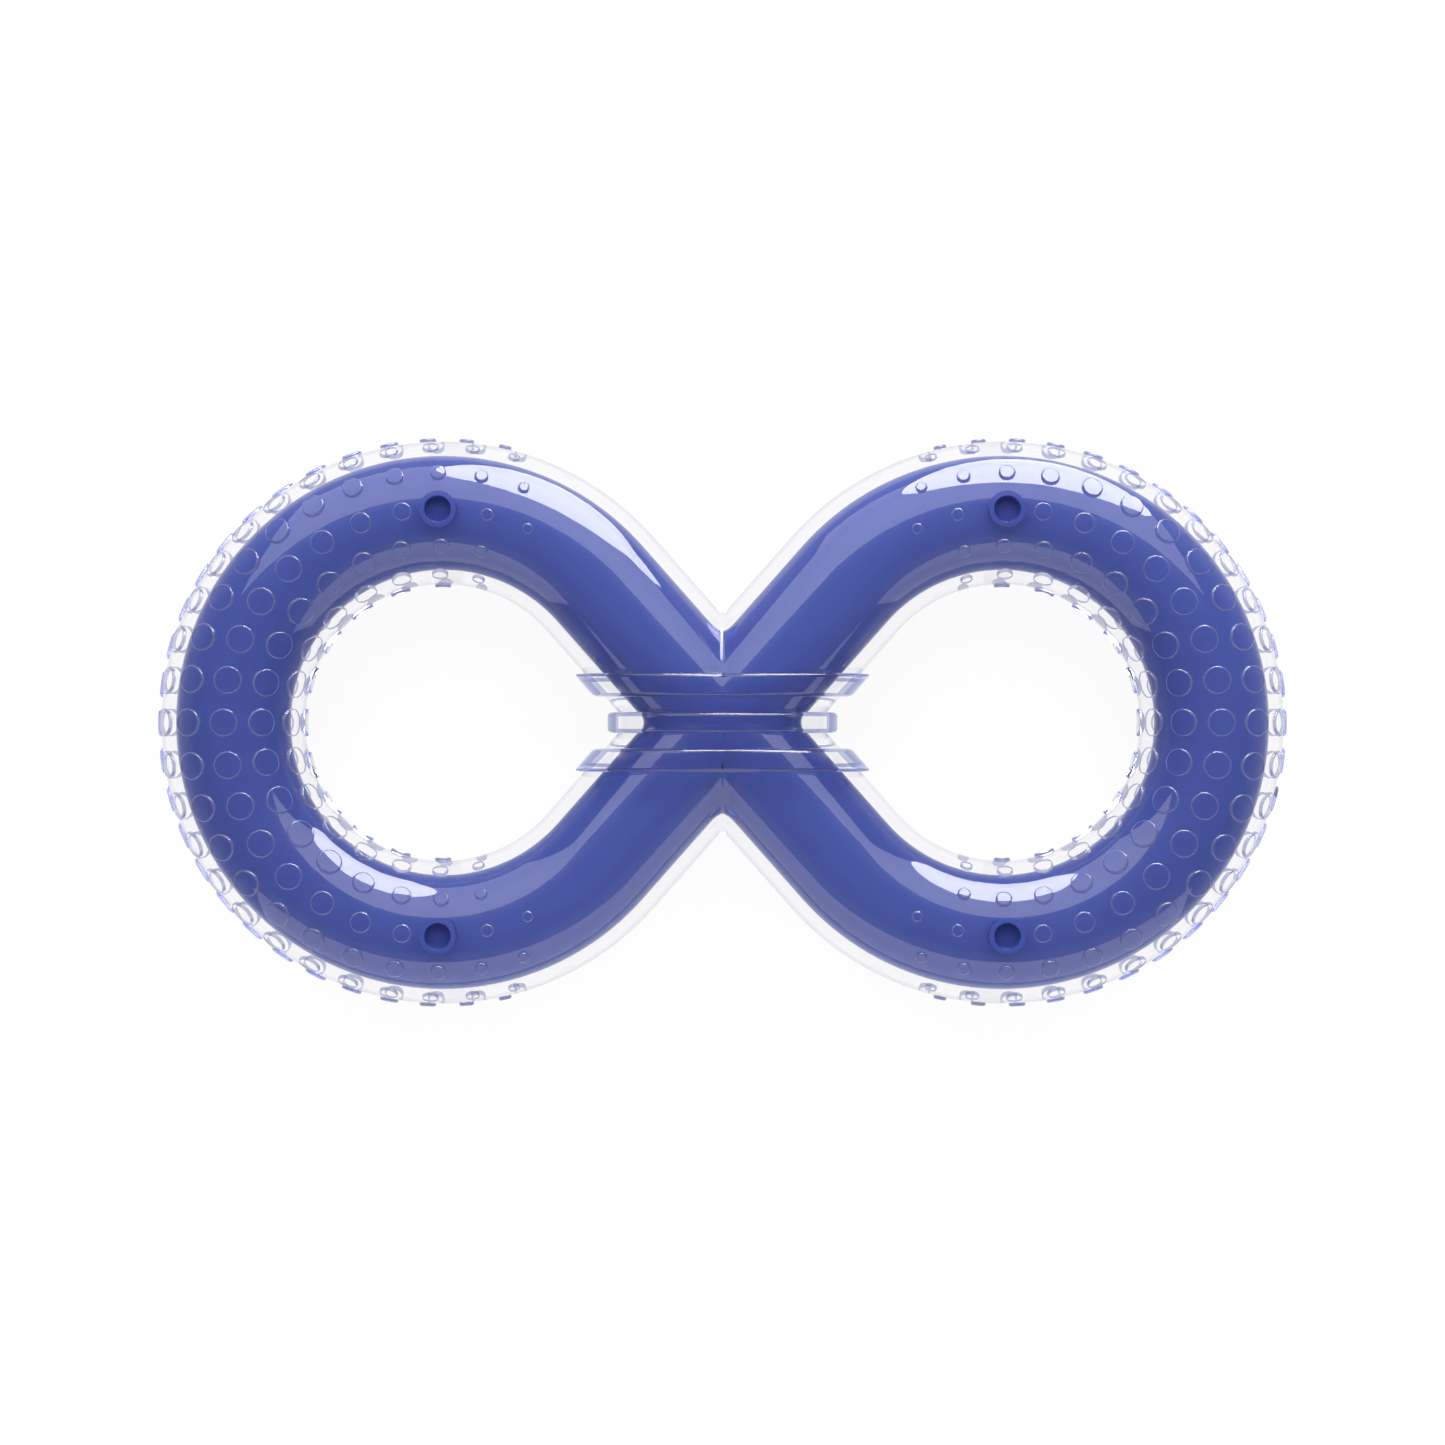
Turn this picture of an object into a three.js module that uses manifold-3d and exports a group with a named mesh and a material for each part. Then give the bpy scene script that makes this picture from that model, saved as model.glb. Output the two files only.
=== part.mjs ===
// Figure-eight tug ring: a hollow blue core in two welded halves, with a clear soft
// rubber shell moulded over it. Millimetres, +Z up, origin where the two rings cross.
// The rings lie in the XY plane, side by side along X, and the front faces +Z.
import * as THREE from 'three';
import { mergeVertices } from 'three/addons/utils/BufferGeometryUtils.js';
import Module from 'manifold-3d';

// ---- Driving dimensions ----------------------------------------------------

const RING_OFFSET = 69.2;        // from the crossing to each ring's centre
const RING_RADIUS = 51.9;        // each ring's centreline
const SHELL_RADIUS = 17.7;       // outside of the clear shell's round section
const CORE_RADIUS = 13.5;        // outside of the core's round section
const CORE_WALL = 3;             // wall of the hollow core
const CLEARANCE = 0.3;           // left between any two pieces that touch

const BAND_RISE = 2;             // how far the waist bands stand above the shell
const OUTER_BAND_PLACE = 9.2;    // middle of each outer band, from the crossing
const OUTER_BAND_WIDTH = 5.7;
const MIDDLE_BAND_WIDTH = 5.1;
const MIDDLE_BAND_LENGTH = 57;   // from tip to tip across the waist

const BOSS_RADIUS = 4.45;        // outside of the bosses that hold the core in its mould
const BOSS_FOOT_RADIUS = 5.75;   // where a boss leaves the core
const BOSS_FOOT_DEPTH = 2;       // how deep a boss is rooted below the core's crest
const BOSS_FOOT_HEIGHT = 1.2;    // how far its flared foot reaches above the crest
const BOSS_HOLE_RADIUS = 3.2;
const BOSS_HOLE_DEPTH = 3;

const TONGUE_WIDTH = 1;          // weld tongue on the core's front half
const TONGUE_HEIGHT = 1.4;

// ---- Fineness of the curved faces ------------------------------------------

const SHELL_SIDES = 20;          // flats round the shell's section
const CORE_SIDES = 16;           // flats round the core's section
const BEND_STEPS = 12;           // steps from a bend's start to the ring's far end
const BAND_SIDES = 32;           // flats round the middle band
const BOSS_SIDES = 16;           // flats round a boss

// ---- Worked-out dimensions --------------------------------------------------

const SLOPE = Math.asin(RING_RADIUS / RING_OFFSET);                // of the straights, from X
const STRAIGHT = Math.sqrt(RING_OFFSET ** 2 - RING_RADIUS ** 2);   // from the crossing to a bend
const BEND = Math.PI / 2 + SLOPE;                                  // turned from there to the far end
const CAVITY_RADIUS = CORE_RADIUS + CLEARANCE;
const HOLLOW_RADIUS = CORE_RADIUS - CORE_WALL;
const BAND_RADIUS = SHELL_RADIUS + BAND_RISE;
const TONGUE_RADIUS = CORE_RADIUS - CORE_WALL / 2;                 // the middle of the core's wall
const REACH = RING_OFFSET + RING_RADIUS + 2 * BAND_RADIUS;         // past every face of the part
const OVERLAP = CLEARANCE / 10;                                    // of the quarters, so that they join

// ---- Solids and meshes --------------------------------------------------------

const wasm = await Module();
wasm.setup();

// A closed three.js geometry, as a solid that can be joined and cut.
function solid(geometry) {
  const bare = geometry.clone();
  bare.deleteAttribute('normal');
  bare.deleteAttribute('uv');
  const merged = mergeVertices(bare);
  return new wasm.Manifold(new wasm.Mesh({
    numProp: 3,
    vertProperties: Float32Array.from(merged.attributes.position.array),
    triVerts: Uint32Array.from(merged.index.array),
  }));
}

// A solid, as a three.js geometry.
function surface(body) {
  const mesh = body.getMesh();
  const geometry = new THREE.BufferGeometry();
  geometry.setAttribute('position', new THREE.BufferAttribute(mesh.vertProperties, 3));
  geometry.setIndex(new THREE.BufferAttribute(mesh.triVerts, 1));
  return geometry;
}

// The mirror image of a geometry across X or Y, with its faces still pointing out.
function mirrored(geometry, x, y) {
  const copy = geometry.clone().scale(x, y, 1);
  if (x * y < 0) copy.index.array.reverse();
  return copy;
}

// A box from one height or place to another, wider than the part in the other directions.
function block({ x = [-REACH, REACH], y = [-REACH, REACH], z = [-REACH, REACH] }) {
  const box = new THREE.BoxGeometry(x[1] - x[0], y[1] - y[0], z[1] - z[0]);
  return solid(box.translate((x[0] + x[1]) / 2, (y[0] + y[1]) / 2, (z[0] + z[1]) / 2));
}

// ---- The figure eight -------------------------------------------------------

// A quarter of the centreline: from a lead behind the crossing, out along one straight
// in a single step, and round the bend in equal steps to the ring's far end.
class Arm extends THREE.Curve {
  constructor(lead) {
    super();
    this.lead = lead;
  }

  // The angle round the ring that is left before the far end.
  left(t) {
    const bent = Math.max(0, t * (BEND_STEPS + 1) - 1);
    return BEND * (1 - bent / BEND_STEPS);
  }

  getPointAt(t) {
    const left = this.left(t);
    if (left < BEND) {
      const x = RING_OFFSET + RING_RADIUS * Math.cos(left);
      return new THREE.Vector3(x, RING_RADIUS * Math.sin(left), 0);
    }
    const along = t * (BEND_STEPS + 1) * (STRAIGHT + this.lead) - this.lead;
    return new THREE.Vector3(along * Math.cos(SLOPE), along * Math.sin(SLOPE), 0);
  }

  getTangentAt(t) {
    const left = this.left(t);
    return new THREE.Vector3(Math.sin(left), -Math.cos(left), 0);
  }
}

// A round section as a polygon whose flats touch the circle, one of them at the crest.
function roundSection(radius, sides) {
  const corner = radius / Math.cos(Math.PI / sides);
  const points = [];
  for (let i = 0; i < sides; i += 1) {
    const angle = (2 * i + 1) * Math.PI / sides;
    points.push(new THREE.Vector2(corner * Math.cos(angle), corner * Math.sin(angle)));
  }
  return new THREE.Shape(points);
}

// The whole figure eight as a solid round bar. One quarter is swept, trimmed just past
// where it meets its neighbours, mirrored into the other three quarters and joined.
function figureEight(radius, sides) {
  const bar = new THREE.ExtrudeGeometry(roundSection(radius, sides), {
    steps: BEND_STEPS + 1, bevelEnabled: false, extrudePath: new Arm(3 * radius),
  });
  const corner = block({ x: [-OVERLAP, REACH], y: [-OVERLAP, REACH] });
  const quarter = surface(solid(bar).intersect(corner));
  let whole = solid(quarter);
  for (const [x, y] of [[1, -1], [-1, 1], [-1, -1]]) {
    whole = whole.add(solid(mirrored(quarter, x, y)));
  }
  return whole;
}

// ---- Bosses -------------------------------------------------------------------

// A turned boss at the crest of a ring, on the front (side 1) or the back (side -1).
function turned(profile, x, y, side) {
  const points = profile.map(([radius, height]) => new THREE.Vector2(radius, height));
  const lathe = new THREE.LatheGeometry(points, BOSS_SIDES);
  return solid(lathe.rotateX(side * Math.PI / 2).translate(x, y, 0));
}

// The places of the bosses, at the top and bottom of both rings.
function bossPlaces() {
  const places = [];
  for (const x of [-RING_OFFSET, RING_OFFSET]) {
    for (const y of [-RING_RADIUS, RING_RADIUS]) places.push([x, y]);
  }
  return places;
}

// A boss's outside, with room round it if the hole for it is wanted.
function bossProfile(room) {
  const foot = CORE_RADIUS - BOSS_FOOT_DEPTH;
  return [
    [0, foot],
    [BOSS_FOOT_RADIUS + room, foot],
    [BOSS_RADIUS + room, CORE_RADIUS + BOSS_FOOT_HEIGHT],
    [BOSS_RADIUS + room, SHELL_RADIUS + BAND_RISE],
    [0, SHELL_RADIUS + BAND_RISE],
  ];
}

function bossHoleProfile() {
  const floor = SHELL_RADIUS - BOSS_HOLE_DEPTH;
  return [
    [0, floor],
    [BOSS_HOLE_RADIUS, floor],
    [BOSS_HOLE_RADIUS, SHELL_RADIUS + BAND_RISE],
    [0, SHELL_RADIUS + BAND_RISE],
  ];
}

// ---- Core halves ----------------------------------------------------------------

// The ridge along the middle of the core's wall, or the groove that takes it.
function weldRidge(room, low, high) {
  const outer = figureEight(TONGUE_RADIUS + TONGUE_WIDTH / 2 + room, CORE_SIDES);
  const inner = figureEight(TONGUE_RADIUS - TONGUE_WIDTH / 2 - room, CORE_SIDES);
  return outer.subtract(inner).intersect(block({ z: [low, high] }));
}

// One half of the hollow core, with its four bosses. The front half has the tongue and
// the back half has the groove.
function coreHalf(side) {
  const shellOutside = figureEight(SHELL_RADIUS, SHELL_SIDES);
  let half = figureEight(CORE_RADIUS, CORE_SIDES);
  for (const [x, y] of bossPlaces()) {
    half = half.add(turned(bossProfile(0), x, y, side).intersect(shellOutside));
    half = half.subtract(turned(bossHoleProfile(), x, y, side));
  }
  half = half.subtract(figureEight(HOLLOW_RADIUS, CORE_SIDES));
  const gap = CLEARANCE / 2;
  if (side > 0) {
    return half.intersect(block({ z: [gap, REACH] })).add(weldRidge(0, -TONGUE_HEIGHT, 2 * gap));
  }
  const groove = weldRidge(CLEARANCE, -TONGUE_HEIGHT - CLEARANCE, 0);
  return half.intersect(block({ z: [-REACH, -gap] })).subtract(groove);
}

// ---- Clear shell ------------------------------------------------------------------

// The two outer bands follow the arms of the figure eight. They are cut from a fatter
// figure eight, between the two ring centres and the band's two faces.
function outerBand(side) {
  const low = side * OUTER_BAND_PLACE - OUTER_BAND_WIDTH / 2;
  const slice = block({ x: [-RING_OFFSET, RING_OFFSET], y: [low, low + OUTER_BAND_WIDTH] });
  return figureEight(BAND_RADIUS, SHELL_SIDES).intersect(slice);
}

// The middle band goes straight across the waist and is oval.
function middleBand() {
  const oval = new THREE.ExtrudeGeometry(roundSection(1, BAND_SIDES), {
    depth: MIDDLE_BAND_WIDTH, bevelEnabled: false,
  });
  oval.rotateZ(Math.PI / 2).scale(MIDDLE_BAND_LENGTH / 2, BAND_RADIUS, 1);
  return solid(oval.rotateX(Math.PI / 2).translate(0, MIDDLE_BAND_WIDTH / 2, 0));
}

// The over-moulded shell, with its bands, the cavity that the core fills and the holes
// where the bosses come through.
function clearShell() {
  let shell = figureEight(SHELL_RADIUS, SHELL_SIDES);
  shell = shell.add(outerBand(1)).add(outerBand(-1)).add(middleBand());
  shell = shell.subtract(figureEight(CAVITY_RADIUS, CORE_SIDES));
  for (const [x, y] of bossPlaces()) {
    for (const side of [1, -1]) shell = shell.subtract(turned(bossProfile(CLEARANCE), x, y, side));
  }
  return shell;
}

// ---- Assembly -----------------------------------------------------------------------

const clearRubber = new THREE.MeshStandardMaterial({
  color: 0xf2f2f7, roughness: 0.08, metalness: 0, transparent: true, opacity: 0.35,
});
const bluePlastic = new THREE.MeshStandardMaterial({ color: 0x4a5aa8, roughness: 0.25, metalness: 0 });

function piece(name, body, material) {
  const geometry = surface(body).toNonIndexed();
  geometry.computeVertexNormals();
  const mesh = new THREE.Mesh(geometry, material);
  mesh.name = name;
  return mesh;
}

const tugRing = new THREE.Group();
tugRing.add(piece('clear_shell', clearShell(), clearRubber));
tugRing.add(piece('core_front_half', coreHalf(1), bluePlastic));
tugRing.add(piece('core_back_half', coreHalf(-1), bluePlastic));

export default tugRing;
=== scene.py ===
import math

import bmesh
import bpy
from mathutils import Matrix, Vector


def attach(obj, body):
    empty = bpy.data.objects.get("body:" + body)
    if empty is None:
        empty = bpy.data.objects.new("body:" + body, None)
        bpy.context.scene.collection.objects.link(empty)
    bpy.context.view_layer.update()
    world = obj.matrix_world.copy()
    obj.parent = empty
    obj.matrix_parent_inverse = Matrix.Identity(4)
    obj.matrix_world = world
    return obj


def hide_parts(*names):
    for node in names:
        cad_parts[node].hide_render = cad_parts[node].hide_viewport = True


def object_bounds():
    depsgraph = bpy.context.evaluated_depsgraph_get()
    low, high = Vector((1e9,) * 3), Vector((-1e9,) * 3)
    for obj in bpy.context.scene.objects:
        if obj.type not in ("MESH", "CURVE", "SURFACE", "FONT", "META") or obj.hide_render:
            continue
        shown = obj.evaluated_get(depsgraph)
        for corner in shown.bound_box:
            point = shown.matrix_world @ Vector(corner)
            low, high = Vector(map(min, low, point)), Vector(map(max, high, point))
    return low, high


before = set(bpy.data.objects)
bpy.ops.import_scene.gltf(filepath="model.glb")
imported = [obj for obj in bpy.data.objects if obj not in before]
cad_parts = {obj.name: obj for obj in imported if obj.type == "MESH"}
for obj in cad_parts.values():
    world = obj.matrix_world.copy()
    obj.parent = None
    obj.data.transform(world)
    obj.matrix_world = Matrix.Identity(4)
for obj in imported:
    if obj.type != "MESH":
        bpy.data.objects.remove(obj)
cad_low, cad_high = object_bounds()


# ---- Blue core: front half and back half ---------------------------------------------------
# Two hollow halves of glossy blue plastic, injection moulded and welded along the mid plane by
# a tongue and a groove. Each half has four round bosses, where pins in the outer mould hold
# the core while the clear rubber is shot round it.

MM = 0.001
SHELL_RADIUS = 17.7 * MM                                    # outside of the clear shell's section
CORE_RADIUS = 13.5 * MM                                     # outside of the core's section
CORE_WALL = 3 * MM
CORE_FILLET = 3.5 * MM                                      # where the core's bars run together
SEAM_GAP = 0.06 * MM                                        # left at the weld, so that it shows
TONGUE_WIDTH = 1 * MM
TONGUE_HEIGHT = 1.4 * MM
TONGUE_ROOM = 0.1 * MM

RING_OFFSET = 69.2 * MM                                     # from the crossing to a ring's centre
RING_RADIUS = cad_high.x - RING_OFFSET - SHELL_RADIUS       # of a ring's centreline
BAND_RADIUS = cad_high.z                                    # the waist bands' crest
SLOPE = math.asin(RING_RADIUS / RING_OFFSET)                # of the straight bars, from X
STRAIGHT = RING_OFFSET * math.cos(SLOPE)                    # from the crossing to a bend
BEND = math.pi / 2 + SLOPE                                  # turned from there to the far end
BAR = Vector((math.cos(SLOPE), math.sin(SLOPE), 0))         # along the bar of the +X +Y quarter
OTHER_BAR = Vector((math.cos(SLOPE), -math.sin(SLOPE), 0))
FAR = 2 * cad_high.x                                        # past every face of the part
TINY = 0.001 * MM


def from_centreline(point):
    """The vector from the nearest point of the figure eight's centreline to this point."""
    side = Vector((math.copysign(1, point.x), math.copysign(1, point.y), 1))
    near = point * 1
    near.x, near.y = abs(point.x), abs(point.y)
    if near.dot(BAR) < STRAIGHT:
        away = near - BAR * near.dot(BAR)
    else:
        out = Vector((near.x - RING_OFFSET, near.y, 0)).normalized()
        away = near - Vector((RING_OFFSET, 0, 0)) - out * RING_RADIUS
    return Vector((away.x * side.x, away.y * side.y, away.z))


FILLET_PASSES = 5                                           # each moves a vertex closer to it


def ease_into_fillet(vert, radius, fillet):
    """Moves a vertex near the crossing onto the fillet between the two round bars."""
    for _ in range(FILLET_PASSES):
        away = [vert.co - bar * vert.co.dot(bar) for bar in (BAR, OTHER_BAR)]
        near, far = sorted(away, key=lambda one: one.length)
        opening = min(1, near.normalized().dot(far.normalized()))
        reach = 4 * fillet * (1 - math.sqrt((1 + opening) / 2))
        share = max(0, 1 - (far.length - near.length) / reach) if reach > TINY else 0
        lean = near.normalized().lerp(far.normalized(), share / 2)
        level = near.length - share ** 2 * reach / 4
        vert.co += lean * (radius - level) / lean.length_squared


FINE = (96, 60)                                             # sides, and steps round a bend
PLAIN = (48, 40)                                            # the same, where it is out of sight


def figure_eight(radius, fineness=FINE, fillet=0, crossing_steps=(0,)):
    """A round bar along the figure eight. One quarter is spun round its bend and drawn out to
    the crossing, where its end is cut to meet the next bars, and is mirrored in X and in Y."""
    sides, bend_steps = fineness
    bm = bmesh.new()
    section = bmesh.ops.create_circle(bm, radius=radius, segments=sides)["verts"]
    bmesh.ops.rotate(bm, verts=section, matrix=Matrix.Rotation(math.pi / 2, 3, "Y"))
    bmesh.ops.rotate(bm, verts=section, matrix=Matrix.Rotation(SLOPE, 3, "Z"))
    bmesh.ops.translate(bm, verts=section, vec=BAR * STRAIGHT)
    rim = bm.edges[:]
    bmesh.ops.spin(bm, geom=section + rim, cent=(RING_OFFSET, 0, 0), axis=(0, 0, 1),
                   angle=-BEND, steps=bend_steps)
    crossing = []
    for step in crossing_steps:
        grown = bmesh.ops.extrude_edge_only(bm, edges=rim)["geom"]
        rim = [part for part in grown if isinstance(part, bmesh.types.BMEdge) and part.is_boundary]
        drawn = [part for part in grown if isinstance(part, bmesh.types.BMVert)]
        for vert in drawn:
            vert.co -= BAR * (min(vert.co.x / BAR.x, vert.co.y / BAR.y) - step)
        crossing += drawn
    if fillet:
        for vert in crossing:
            ease_into_fillet(vert, radius, fillet)
    for axis in "XY":
        bmesh.ops.mirror(bm, geom=bm.verts[:] + bm.edges[:] + bm.faces[:], axis=axis,
                         merge_dist=TINY)
    bmesh.ops.remove_doubles(bm, verts=bm.verts, dist=TINY)
    bmesh.ops.recalc_face_normals(bm, faces=bm.faces)
    return bm


# Steps from the crossing out along a bar, closer together where the fillet is.
FINE_CROSSING = [step * MM for step in (20, 14, 10, 7.4, 5.6, 4.2, 3.1, 2.2, 1.5, 0.9, 0.4, 0)]


def made_object(name, bm, materials=()):
    mesh = bpy.data.meshes.new(name)
    bm.to_mesh(mesh)
    bm.free()
    for material in materials:
        mesh.materials.append(material)
    made = bpy.data.objects.new(name, mesh)
    bpy.context.scene.collection.objects.link(made)
    return made


def combine(body, operation, bm):
    """Joins, cuts or trims an object with the solid in bm, which has the same materials."""
    tool = made_object("tool", bm, body.data.materials)
    modifier = body.modifiers.new("combine", "BOOLEAN")
    modifier.operation = operation
    modifier.solver = "MANIFOLD"
    modifier.object = tool
    evaluated = body.evaluated_get(bpy.context.evaluated_depsgraph_get())
    mesh = bpy.data.meshes.new_from_object(evaluated)
    body.modifiers.clear()
    old = body.data
    body.data = mesh
    bpy.data.meshes.remove(old)
    bpy.data.objects.remove(tool)
    return body


def slab(low, high, axis):
    """A box from low to high along one axis, and past the part in the other two."""
    bm = bmesh.new()
    bmesh.ops.create_cube(bm, size=1)
    size, middle = Vector((FAR, FAR, FAR)), Vector()
    size[axis], middle[axis] = high - low, (high + low) / 2
    bmesh.ops.scale(bm, verts=bm.verts, vec=size)
    bmesh.ops.translate(bm, verts=bm.verts, vec=middle)
    return bm


SHARP_ANGLE = 50                                            # degrees; a steeper edge stays sharp
LEVEL_TOLERANCE = 0.06 * MM


def shade_smooth(piece, levels):
    """Smooth shading. Faces that follow the bar at one of these distances from its centreline
    get normals square to the true round surface, which cuts and joins in them don't disturb."""
    mesh = piece.data
    mesh.shade_smooth()
    mesh.set_sharp_from_angle(angle=math.radians(SHARP_ANGLE))
    away = [from_centreline(vert.co) for vert in mesh.vertices]
    normals = [Vector()] * len(mesh.loops)
    for face in mesh.polygons:
        for level in levels:
            if all(abs(away[v].length - level) < LEVEL_TOLERANCE for v in face.vertices):
                for corner in face.loop_indices:
                    normals[corner] = away[mesh.loops[corner].vertex_index].normalized()
    mesh.normals_split_custom_set(normals)


BOSS_RADIUS = 4.45 * MM
BOSS_FOOT_RADIUS = 5.9 * MM                                 # where its flared foot meets the core
BOSS_FOOT_LOW = CORE_RADIUS - 1.9 * MM
BOSS_FOOT_TOP = CORE_RADIUS + 0.5 * MM
BOSS_HOLE_RADIUS = 3.2 * MM
BOSS_HOLE_DRAFT = 0.1 * MM                                  # narrower at the bottom
BOSS_HOLE_DEPTH = 3 * MM
BOSS_RIM = 0.28 * MM                                        # fillet round the hole's edge
BOSS_SIDES = 48


def arc(centre, radius, start, end, steps=6):
    """Points (distance from the axis, height) on a round corner of a turned shape."""
    angles = [math.radians(start + (end - start) * i / steps) for i in range(steps + 1)]
    return [(centre[0] + radius[0] * math.cos(angle), centre[1] + radius[1] * math.sin(angle))
            for angle in angles]


def turned(bm, profile, sides):
    """Adds a solid turned round Z from a profile of (distance from the axis, height)."""
    points = [bm.verts.new((across, 0, height)) for across, height in profile]
    line = [bm.edges.new(pair) for pair in zip(points, points[1:])]
    bmesh.ops.spin(bm, geom=points + line, cent=(0, 0, 0), axis=(0, 0, 1),
                   angle=2 * math.pi, steps=sides, use_merge=True)


def drop_of_shell(x, y):
    """How far the clear shell's outside lies below its crest at a place on a ring."""
    out = math.hypot(abs(x) - RING_OFFSET, y) - RING_RADIUS
    return SHELL_RADIUS - math.sqrt(SHELL_RADIUS ** 2 - out ** 2)


def boss_outside(room):
    """The outside of a boss from its foot up, with room round it."""
    rise, flare = BOSS_FOOT_TOP - BOSS_FOOT_LOW, BOSS_FOOT_RADIUS - BOSS_RADIUS
    return arc((BOSS_FOOT_RADIUS + room, BOSS_FOOT_TOP), (flare, rise), 270, 180)


def bosses(side, profile):
    """Four turned solids on one face of the figure eight, their tops laid to the shell."""
    bm = bmesh.new()
    for x in (-RING_OFFSET, RING_OFFSET):
        for y in (-RING_RADIUS, RING_RADIUS):
            before = set(bm.verts)
            turned(bm, profile, BOSS_SIDES)
            new = [vert for vert in bm.verts if vert not in before]
            bmesh.ops.translate(bm, verts=new, vec=(x, y, 0))
            for vert in new:
                if vert.co.z > BOSS_FOOT_TOP + TINY:
                    vert.co.z -= drop_of_shell(vert.co.x, vert.co.y)
    bmesh.ops.scale(bm, verts=bm.verts, vec=(1, 1, side))
    bmesh.ops.remove_doubles(bm, verts=bm.verts, dist=TINY)
    bmesh.ops.recalc_face_normals(bm, faces=bm.faces)
    return bm


HOLE_FLOOR = SHELL_RADIUS - BOSS_HOLE_DEPTH
BOSS_PROFILE = (
    [(0, BOSS_FOOT_LOW), (BOSS_FOOT_RADIUS, BOSS_FOOT_LOW)]
    + boss_outside(0)[1:]
    + [(BOSS_RADIUS, SHELL_RADIUS)]
    + arc((BOSS_HOLE_RADIUS + BOSS_RIM, SHELL_RADIUS - BOSS_RIM), (BOSS_RIM, BOSS_RIM), 90, 180)
    + arc((BOSS_HOLE_RADIUS - BOSS_HOLE_DRAFT - BOSS_RIM, HOLE_FLOOR + BOSS_RIM),
          (BOSS_RIM, BOSS_RIM), 0, -90)
    + [(0, HOLE_FLOOR)]
)


def weld_ridge(room, low, high):
    """The ridge along the middle of the core's wall, or with room the groove that takes it."""
    middle = CORE_RADIUS - CORE_WALL / 2
    ridge = made_object("ridge", figure_eight(middle + TONGUE_WIDTH / 2 + room, PLAIN))
    combine(ridge, "DIFFERENCE", figure_eight(middle - TONGUE_WIDTH / 2 - room, PLAIN))
    combine(ridge, "INTERSECT", slab(low, high, 2))
    bm = bmesh.new()
    bm.from_mesh(ridge.data)
    bpy.data.objects.remove(ridge)
    return bm


def core_half(name, side, material):
    """One half of the core: side is 1 for the front, with the tongue, and -1 for the back."""
    smooth_eight = figure_eight(CORE_RADIUS, fillet=CORE_FILLET, crossing_steps=FINE_CROSSING)
    half = made_object(name, smooth_eight, [material])
    combine(half, "DIFFERENCE", figure_eight(CORE_RADIUS - CORE_WALL, PLAIN))
    combine(half, "UNION", bosses(side, BOSS_PROFILE))
    inner, outer = sorted((side * SEAM_GAP / 2, side * FAR / 2))
    combine(half, "INTERSECT", slab(inner, outer, 2))
    if side > 0:
        combine(half, "UNION", weld_ridge(0, -TONGUE_HEIGHT, SEAM_GAP))
    else:
        combine(half, "DIFFERENCE", weld_ridge(TONGUE_ROOM, -TONGUE_HEIGHT - TONGUE_ROOM, 0))
    shade_smooth(half, [CORE_RADIUS, CORE_RADIUS - CORE_WALL, SHELL_RADIUS])
    return half


BLUE = (0.066, 0.098, 0.4, 1)
DEEPER_BLUE = (0.058, 0.088, 0.375, 1)
CLOUD_SCALE = 22                                            # patches of about 45 mm
CLOUD_DETAIL = 3
BLUE_GLOSS = (0.16, 0.26)                                   # roughness, from clear to cloudy
GRAIN_SCALE = 900                                           # grains of about 1 mm
GRAIN_STRENGTH = 0.02
GRAIN_HEIGHT = 0.1 * MM
BONDED_SHINE = 0.15                                         # dulled by the rubber bonded to it


def blue_plastic():
    """Glossy blue plastic: faint cloudiness from its moulding, and a slightly uneven gloss."""
    material = bpy.data.materials.new("blue_plastic")
    material.use_nodes = True
    nodes, links = material.node_tree.nodes, material.node_tree.links
    plastic = nodes["Principled BSDF"]
    plastic.inputs["Specular IOR Level"].default_value = BONDED_SHINE
    place = nodes.new("ShaderNodeTexCoord")
    cloud = nodes.new("ShaderNodeTexNoise")
    cloud.inputs["Scale"].default_value = CLOUD_SCALE
    cloud.inputs["Detail"].default_value = CLOUD_DETAIL
    links.new(place.outputs["Object"], cloud.inputs["Vector"])
    colour = nodes.new("ShaderNodeMix")
    colour.data_type = "RGBA"
    colour.inputs[6].default_value = BLUE
    colour.inputs[7].default_value = DEEPER_BLUE
    links.new(cloud.outputs["Fac"], colour.inputs["Factor"])
    links.new(colour.outputs[2], plastic.inputs["Base Color"])
    gloss = nodes.new("ShaderNodeMapRange")
    gloss.inputs["To Min"].default_value, gloss.inputs["To Max"].default_value = BLUE_GLOSS
    links.new(cloud.outputs["Fac"], gloss.inputs["Value"])
    links.new(gloss.outputs["Result"], plastic.inputs["Roughness"])
    grain = nodes.new("ShaderNodeTexNoise")
    grain.inputs["Scale"].default_value = GRAIN_SCALE
    links.new(place.outputs["Object"], grain.inputs["Vector"])
    bump = nodes.new("ShaderNodeBump")
    bump.inputs["Strength"].default_value = GRAIN_STRENGTH
    bump.inputs["Distance"].default_value = GRAIN_HEIGHT
    links.new(grain.outputs["Fac"], bump.inputs["Height"])
    links.new(bump.outputs["Normal"], plastic.inputs["Normal"])
    return material


core_material = blue_plastic()
for name, side in (("core_front_half", 1), ("core_back_half", -1)):
    half = core_half("fine_" + name, side, core_material)
    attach(half, "root")
    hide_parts(name)


# ---- Clear shell -----------------------------------------------------------------------------
# One skin of clear soft rubber, moulded over the core and bonded to it. It has three raised
# bands round the waist, rows of round grip dots on both rings, and a hole round each boss.

BOND = 0.05 * MM                                            # the rubber's face lies this far in
SHELL_FILLET = 1.4 * MM                                     # where the shell's bars run together

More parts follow.
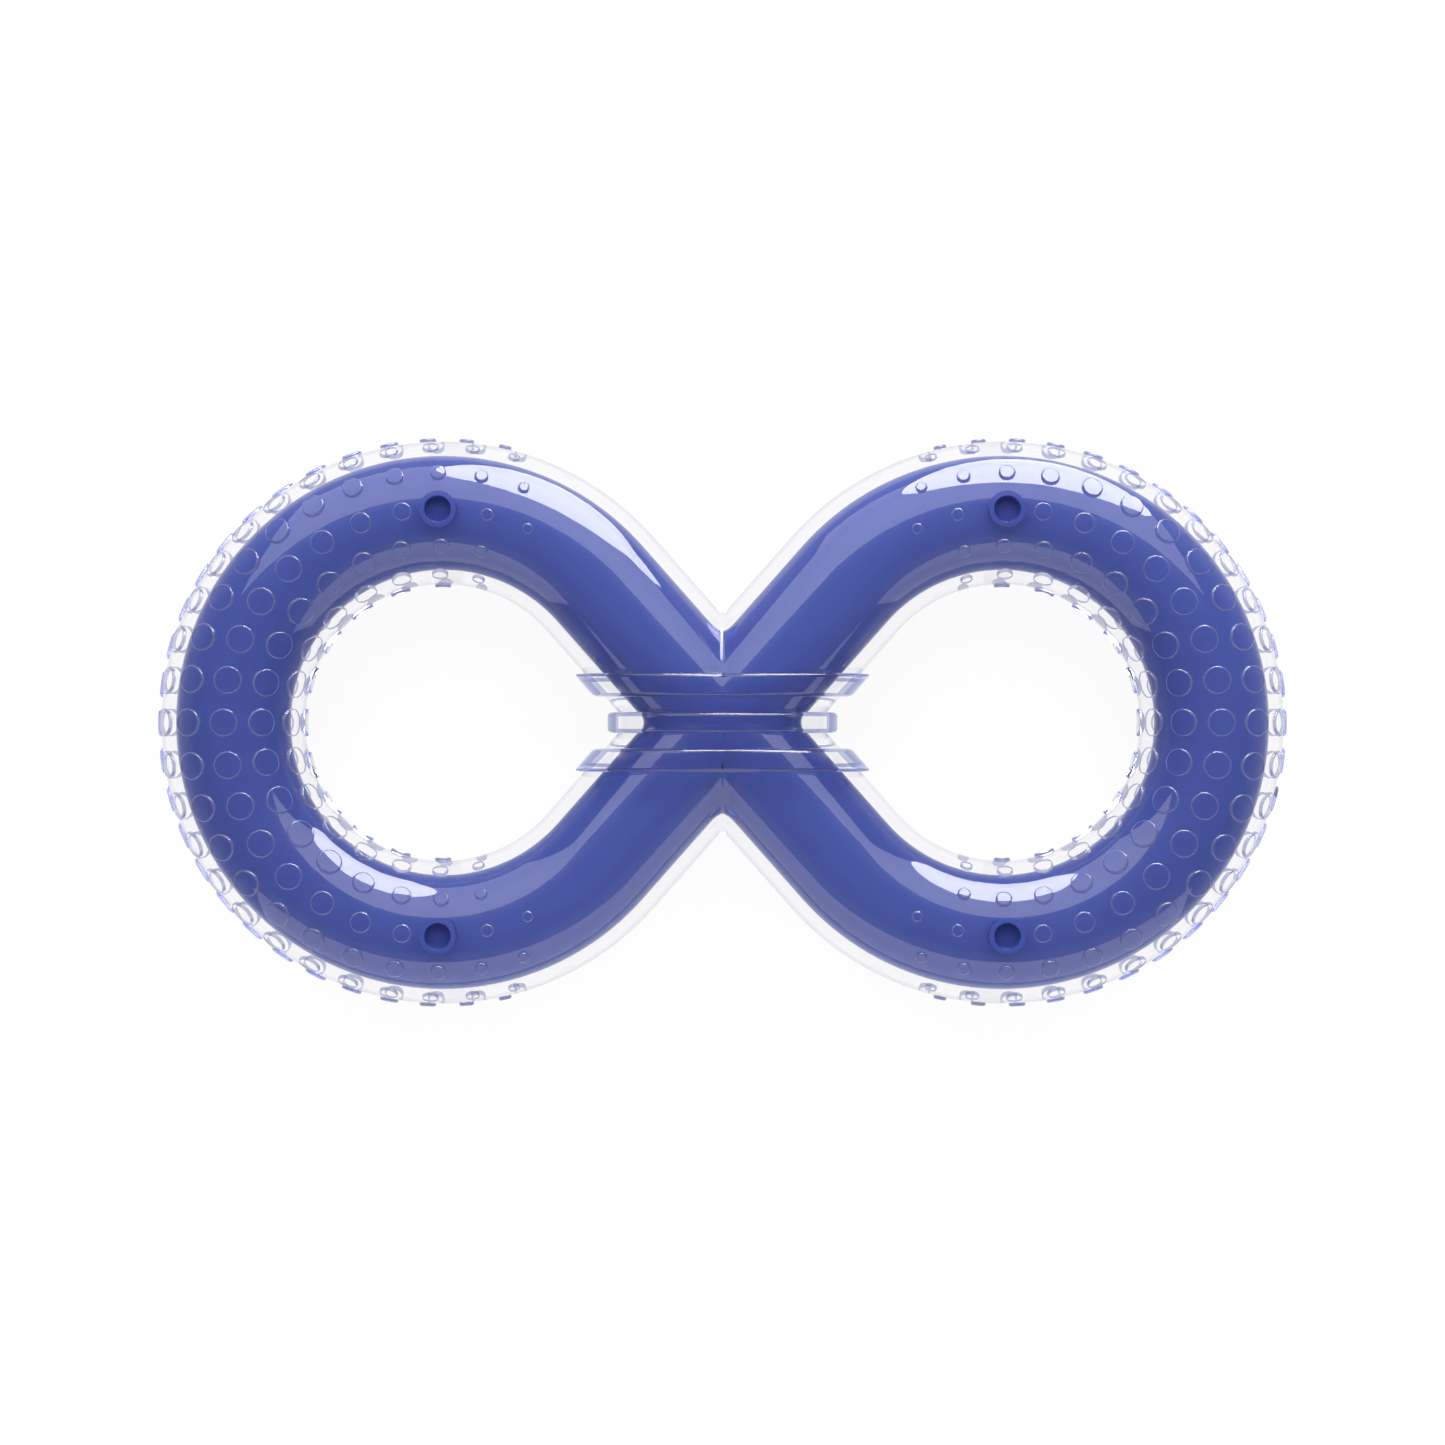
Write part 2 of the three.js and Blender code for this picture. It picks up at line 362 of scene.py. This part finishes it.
OUTER_BAND_PLACE = 9.2 * MM                                 # its middle, from the crossing
OUTER_BAND_WIDTH = 5.7 * MM
MIDDLE_BAND_WIDTH = 5.1 * MM
MIDDLE_BAND_LENGTH = 57 * MM                                # from tip to tip across the waist
MIDDLE_BAND_SIDES = 96
BAND_EDGE = 1 * MM                                          # rounding of the bands' edges
BAND_EDGE_STEPS = 4

DOT_RADIUS = 3.45 * MM
DOT_LEAST_RADIUS = 1.4 * MM
DOT_RISE = 0.75 * MM
DOT_ROOT = 0.9 * MM                                         # how deep its foot is in the shell
DOT_EDGE = 0.35 * MM                                        # rounding of a dot's edge
DOT_EDGE_STEPS = 2
DOT_SIDES = 20
DOT_FULL_TURN = 42                                          # degrees from the far end
DOT_SHRINK = 0.03 * MM                                      # of radius, per degree past that
# Each row of dots: its angle round the bar's section from the front crest, in degrees, where
# -90 is the ring's outside and 90 its inside, then its pitch in degrees along the ring and
# how many dots it has to each side of the ring's far end.
DOT_ROWS = ((-90, 7.9, 13), (-60, 8.8, 12), (-30, 10, 11), (0, 11.5, 10), (30, 13, 8),
            (60, 15, 7), (90, 18, 5), (-120, 8.8, 12), (-150, 10, 11), (180, 11.5, 10),
            (150, 13, 8), (120, 15, 7))
BOSS_TURN = 92                                              # the dot here gives way to a boss

RUBBER_IOR = 1.045                                          # low, so the core keeps its width
SKIN_IOR = 1.5
SKIN_ROUGHNESS = 0.015
RUBBER_CLOUD_SCALE = 35
RUBBER_GLOSS = (0.0, 0.012)                                 # roughness, from clear to cloudy
SLANT_START, SLANT_FULL = 0.62, 0.82                        # where the painted outline tint sets in


def rubber(name, tint, painted_outline_tint, frost=0.0):
    """Clear soft rubber with a bright, slightly uneven skin. Where it is seen at a slant it takes
    the second tint, a painted darkening of its outline. Frost is the share of light that it
    scatters."""
    material = bpy.data.materials.new(name)
    material.use_nodes = True
    nodes, links = material.node_tree.nodes, material.node_tree.links
    skin = nodes["Principled BSDF"]
    skin.inputs["Transmission Weight"].default_value = 1 - frost
    skin.inputs["IOR"].default_value = RUBBER_IOR
    skin.inputs["Coat Weight"].default_value = 1
    skin.inputs["Coat IOR"].default_value = SKIN_IOR
    skin.inputs["Coat Roughness"].default_value = SKIN_ROUGHNESS
    place = nodes.new("ShaderNodeTexCoord")
    cloud = nodes.new("ShaderNodeTexNoise")
    cloud.inputs["Scale"].default_value = RUBBER_CLOUD_SCALE
    links.new(place.outputs["Object"], cloud.inputs["Vector"])
    gloss = nodes.new("ShaderNodeMapRange")
    gloss.inputs["To Min"].default_value, gloss.inputs["To Max"].default_value = RUBBER_GLOSS
    links.new(cloud.outputs["Fac"], gloss.inputs["Value"])
    links.new(gloss.outputs["Result"], skin.inputs["Roughness"])
    slant = nodes.new("ShaderNodeLayerWeight")
    colour = nodes.new("ShaderNodeValToRGB")
    straight_end, slant_end = colour.color_ramp.elements
    straight_end.position, slant_end.position = SLANT_START, SLANT_FULL
    straight_end.color, slant_end.color = tint, painted_outline_tint
    links.new(slant.outputs["Facing"], colour.inputs["Fac"])
    links.new(colour.outputs["Color"], skin.inputs["Base Color"])
    return material


# The faces; the steep ends of the bands and the bands' rounded edges, whose blue is painted on and
# stands for the core seen through the rubber; and the walls of the dots, slightly frosted, with
# the same painted blue.
RUBBERS = [rubber("clear_rubber", (0.925, 0.925, 0.94, 1), (0.56, 0.56, 0.62, 1)),
           rubber("clear_rubber_ends_painted_core_blue", (0.26, 0.3, 0.56, 1), (0.2, 0.24, 0.5, 1)),
           rubber("clear_rubber_edges_painted_core_blue", (0.24, 0.27, 0.5, 1), (0.2, 0.23, 0.46, 1), 0.14),
           rubber("clear_rubber_dots_painted_core_blue", (0.34, 0.36, 0.58, 1), (0.3, 0.32, 0.54, 1), 0.28)]
FACES, ENDS, EDGES, DOT_WALLS = range(4)
STEEP = 0.55                                                # a face is, if its normal's Z is less


def round_off(bm, rims):
    """Rounds the edges of a band, and gives its steep faces and its edges their rubber, whose blue
    is painted to stand for the core seen through it.
    """
    bmesh.ops.recalc_face_normals(bm, faces=bm.faces)
    for face in bm.faces:
        face.material_index = ENDS if abs(face.normal.z) < STEEP else FACES
    rounded = bmesh.ops.bevel(bm, geom=rims, offset=BAND_EDGE, affect="EDGES",
                              segments=BAND_EDGE_STEPS, profile=0.5, material=-1)
    for face in rounded["faces"]:
        face.material_index = EDGES
    bmesh.ops.recalc_face_normals(bm, faces=bm.faces)


def outer_band(side):
    """A slice across the fatter figure eight, with its edges rounded."""
    bm = figure_eight(BAND_RADIUS)
    low = side * OUTER_BAND_PLACE - OUTER_BAND_WIDTH / 2
    cuts = (((0, low, 0), (0, -1, 0)), ((0, low + OUTER_BAND_WIDTH, 0), (0, 1, 0)),
            ((RING_OFFSET, 0, 0), (1, 0, 0)), ((-RING_OFFSET, 0, 0), (-1, 0, 0)))
    for place, outward in cuts:
        bmesh.ops.bisect_plane(bm, geom=bm.verts[:] + bm.edges[:] + bm.faces[:], dist=TINY,
                               plane_co=place, plane_no=outward, clear_outer=True)
    open_edges = [edge for edge in bm.edges if edge.is_boundary]
    bmesh.ops.holes_fill(bm, edges=open_edges, sides=0)
    round_off(bm, [edge for edge in open_edges if edge.is_valid])
    return bm


def middle_band():
    """An oval plate straight across the waist, with its edges rounded."""
    bm = bmesh.new()
    bmesh.ops.create_cone(bm, cap_ends=True, segments=MIDDLE_BAND_SIDES, radius1=1, radius2=1,
                          depth=MIDDLE_BAND_WIDTH)
    bmesh.ops.scale(bm, verts=bm.verts, vec=(MIDDLE_BAND_LENGTH / 2, BAND_RADIUS, 1))
    bmesh.ops.rotate(bm, verts=bm.verts, matrix=Matrix.Rotation(math.pi / 2, 3, "X"))
    rims = [edge for edge in bm.edges if any(len(face.verts) > 4 for face in edge.link_faces)]
    round_off(bm, rims)
    return bm


def grip_dot(ring, row, turn):
    """One grip dot on a ring (1 for +X), at a turn in degrees from the ring's far end. It is
    a low disc with a rounded edge, laid to the shell's surface."""
    past = max(0, abs(turn) - DOT_FULL_TURN)
    radius = max(DOT_LEAST_RADIUS, DOT_RADIUS - DOT_SHRINK * past)
    edge = arc((radius - DOT_EDGE, DOT_RISE - DOT_EDGE), (DOT_EDGE, DOT_EDGE), 0, 90,
               DOT_EDGE_STEPS)
    bm = bmesh.new()
    turned(bm, [(0, -DOT_ROOT), (radius, -DOT_ROOT)] + edge + [(0, DOT_RISE)], DOT_SIDES)
    for face in bm.faces:
        # Flat faces take the clear rubber; the walls take the rubber with painted core blue.
        flat = max(vert.co.z for vert in face.verts) - min(vert.co.z for vert in face.verts) < TINY
        face.material_index = FACES if flat else DOT_WALLS
    tilt = math.radians(row)
    bend = -math.sin(tilt) / (RING_RADIUS - SHELL_RADIUS * math.sin(tilt))
    for vert in bm.verts:
        vert.co.z -= vert.co.x ** 2 / (2 * SHELL_RADIUS) + bend * vert.co.y ** 2 / 2
    reach = Vector((RING_RADIUS - math.sin(tilt) * SHELL_RADIUS, 0, math.cos(tilt) * SHELL_RADIUS))
    round_ring = math.radians(turn + (180 if ring < 0 else 0))
    bmesh.ops.rotate(bm, verts=bm.verts, matrix=Matrix.Rotation(-tilt, 3, "Y"))
    bmesh.ops.translate(bm, verts=bm.verts, vec=reach)
    bmesh.ops.rotate(bm, verts=bm.verts, matrix=Matrix.Rotation(round_ring, 3, "Z"))
    bmesh.ops.translate(bm, verts=bm.verts, vec=(ring * RING_OFFSET, 0, 0))
    return bm


def grip_dots():
    """Every grip dot, in one mesh."""
    dots = bmesh.new()
    mesh = bpy.data.meshes.new("dot")
    for ring in (-1, 1):
        for row, pitch, count in DOT_ROWS:
            for i in range(-count, count + 1):
                on_crest = row % 180 == 0
                if on_crest and abs(abs(i) * pitch - BOSS_TURN) < pitch / 2:
                    continue
                dot = grip_dot(ring, row, i * pitch)
                dot.to_mesh(mesh)
                dot.free()
                dots.from_mesh(mesh)
    bpy.data.meshes.remove(mesh)
    bmesh.ops.remove_doubles(dots, verts=dots.verts, dist=TINY)
    bmesh.ops.recalc_face_normals(dots, faces=dots.faces)
    return dots


smooth_eight = figure_eight(SHELL_RADIUS, fillet=SHELL_FILLET, crossing_steps=FINE_CROSSING)
shell = made_object("fine_clear_shell", smooth_eight, RUBBERS)
combine(shell, "UNION", grip_dots())
combine(shell, "UNION", outer_band(1))
combine(shell, "UNION", outer_band(-1))
combine(shell, "UNION", middle_band())
CAVITY_FINENESS = (64, 48)
combine(shell, "DIFFERENCE",
        figure_eight(CORE_RADIUS - BOND, CAVITY_FINENESS, CORE_FILLET, FINE_CROSSING))
HOLE_PROFILE = (
    [(0, BOSS_FOOT_LOW), (BOSS_FOOT_RADIUS - BOND, BOSS_FOOT_LOW)]
    + boss_outside(-BOND)[1:]
    + [(BOSS_RADIUS - BOND, BAND_RADIUS), (0, BAND_RADIUS)]
)
for side in (1, -1):
    combine(shell, "DIFFERENCE", bosses(side, HOLE_PROFILE))
shade_smooth(shell, [SHELL_RADIUS, SHELL_RADIUS + DOT_RISE, BAND_RADIUS, CORE_RADIUS - BOND])

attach(shell, "root")
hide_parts("clear_shell")


# ---- Floor, light and camera --------------------------------------------------------------------
# A pale floor that is softly lit from inside, as a light table is, a bright upright softbox past
# the ring's top edge, and two large dim ones. The camera looks straight down on the front face.

FLOOR_SIZE = 8
FLOOR_GLOW = 0.93
FLOOR_WHITE = (1, 1, 1, 1)
FLOOR_PALE = (0.12, 0.12, 0.12, 1)
FLOOR_ROUGHNESS = 0.9
floor_bm = bmesh.new()
bmesh.ops.create_grid(floor_bm, x_segments=1, y_segments=1, size=FLOOR_SIZE / 2)
bmesh.ops.translate(floor_bm, verts=floor_bm.verts, vec=(0, 0, cad_low.z))
floor = made_object("floor", floor_bm)
table_top = bpy.data.materials.new("table_top")
table_top.use_nodes = True
table_face = table_top.node_tree.nodes["Principled BSDF"].inputs
table_face["Base Color"].default_value = FLOOR_PALE
table_face["Roughness"].default_value = FLOOR_ROUGHNESS
table_face["Specular IOR Level"].default_value = 0
table_face["Emission Color"].default_value = FLOOR_WHITE
table_face["Emission Strength"].default_value = FLOOR_GLOW
floor.data.materials.append(table_top)

ROOM_LIGHT = (0.25, 0.25, 0.25, 1)
WHITE = (1, 1, 1, 1)


def studio():
    """A dim room, white where it is seen straight or through the clear rubber."""
    world = bpy.data.worlds.new("studio")
    world.use_nodes = True
    nodes, links = world.node_tree.nodes, world.node_tree.links
    path = nodes.new("ShaderNodeLightPath")
    bounces = nodes.new("ShaderNodeMath")
    bounces.operation = "ADD"
    bounces.use_clamp = True
    links.new(path.outputs["Diffuse Depth"], bounces.inputs[0])
    links.new(path.outputs["Glossy Depth"], bounces.inputs[1])
    colour = nodes.new("ShaderNodeMix")
    colour.data_type = "RGBA"
    colour.inputs[6].default_value = WHITE
    colour.inputs[7].default_value = ROOM_LIGHT
    links.new(bounces.outputs["Value"], colour.inputs["Factor"])
    links.new(colour.outputs[2], nodes["Background"].inputs["Color"])
    return world


bpy.context.scene.world = studio()


def softbox(name, place, aim, width, height, brightness, shape="RECTANGLE"):
    """A light whose face is this bright."""
    light = bpy.data.lights.new(name, "AREA")
    light.shape = shape
    light.size, light.size_y = width, height
    area = width * height * (math.pi / 4 if shape == "ELLIPSE" else 1)
    light.energy = brightness * math.pi * area
    made = bpy.data.objects.new(name, light)
    made.location = place
    made.rotation_euler = (Vector(aim) - Vector(place)).to_track_quat("-Z", "Y").to_euler()
    bpy.context.scene.collection.objects.link(made)
    return made


key = softbox("key_softbox", (0.17, 0.48, 0.2), (0.17, 0, 0.2), 0.56, 0.44, 13.5, "ELLIPSE")
key.visible_diffuse = False                                 # it only makes the highlights
key.visible_transmission = False
softbox("top_softbox", (0, 0.75, 0.62), (0, 0, 0), 1.7, 1.0, 2.4)
softbox("low_softbox", (0, -0.8, 0.35), (0, 0, 0.1), 1.94, 0.6, 1.6)

CAMERA_HEIGHT = 0.867
FILM_WIDTH = 36                                             # in millimetres, as the lens is
FOCAL_LENGTH = 87.2
camera_data = bpy.data.cameras.new("camera")
camera_data.sensor_width = FILM_WIDTH
camera_data.lens = FOCAL_LENGTH
camera = bpy.data.objects.new("camera", camera_data)
camera.location = (0, 0, CAMERA_HEIGHT)
bpy.context.scene.collection.objects.link(camera)
bpy.context.scene.camera = camera
bpy.context.scene.view_settings.view_transform = "Standard"
